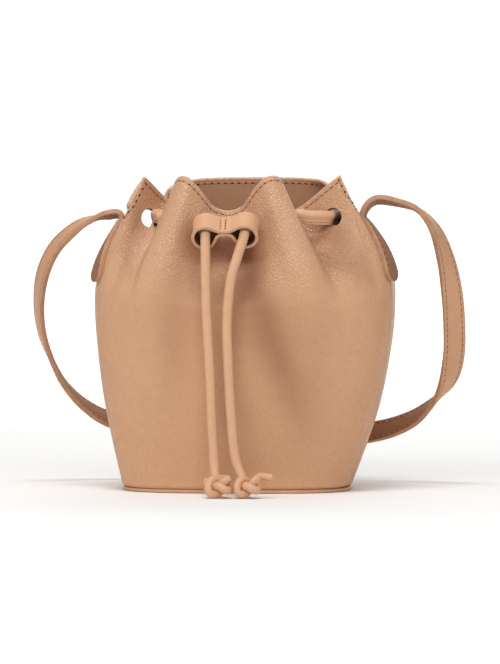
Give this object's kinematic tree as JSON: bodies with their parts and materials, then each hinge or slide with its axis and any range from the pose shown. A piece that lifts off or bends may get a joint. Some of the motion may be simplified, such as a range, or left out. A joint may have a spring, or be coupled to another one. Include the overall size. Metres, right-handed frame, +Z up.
{
  "type": "bucket bag",
  "caption": "Soft leather bucket bag with a gathered drawcord mouth, a figure-eight cord slider, knotted cord tails and a flat shoulder strap sewn on by side tabs.",
  "frame": {"origin": "middle of the underside of the base, on the surface the bag stands on", "axes": "+X to the bag's right as seen from the front, +Y from the slider at the front to the rear, +Z up"},
  "size_m": [0.2856, 0.184, 0.2026],
  "materials": {
    "body_leather": "pebbled, soft sheen",
    "base_leather": "pebbled, soft sheen",
    "facing_leather": "smooth, matt",
    "lining_cloth": "plain weave",
    "board": "matt board",
    "strap_leather": "smooth, soft sheen",
    "cord_leather": "smooth rolled leather",
    "slider_leather": "smooth leather"
  },
  "bodies": {
    "bag": {"front_panel": "body_leather", "rear_panel": "body_leather", "front_facing": "facing_leather", "rear_facing": "facing_leather", "front_lining": "lining_cloth", "rear_lining": "lining_cloth", "base_panel": "base_leather", "base_board": "board", "lining_floor": "lining_cloth", "tab_left": "strap_leather", "tab_right": "strap_leather", "patch_left": "facing_leather", "patch_right": "facing_leather", "drawcord_run": "cord_leather", "tail_left": "cord_leather", "tail_right": "cord_leather", "knot_left": "cord_leather", "knot_right": "cord_leather"},
    "strap_loop": {"strap": "strap_leather"},
    "cord_slider": {"slider": "slider_leather"}
  },
  "joints": [
    {"name": "strap_swing", "type": "hinge", "parent": "bag", "child": "strap_loop", "pos_m": [-0.084, -0.015, 0.1775], "axis": [0.9985, 0.0165, 0.0523], "range_deg": [0, 220]},
    {"name": "slider_slide", "type": "slide", "parent": "bag", "child": "cord_slider", "axis": [-0.08, -0.3002, -0.9505], "range_m": [0, 0.03], "deforming": ["tail_left", "tail_right"]}
  ]
}
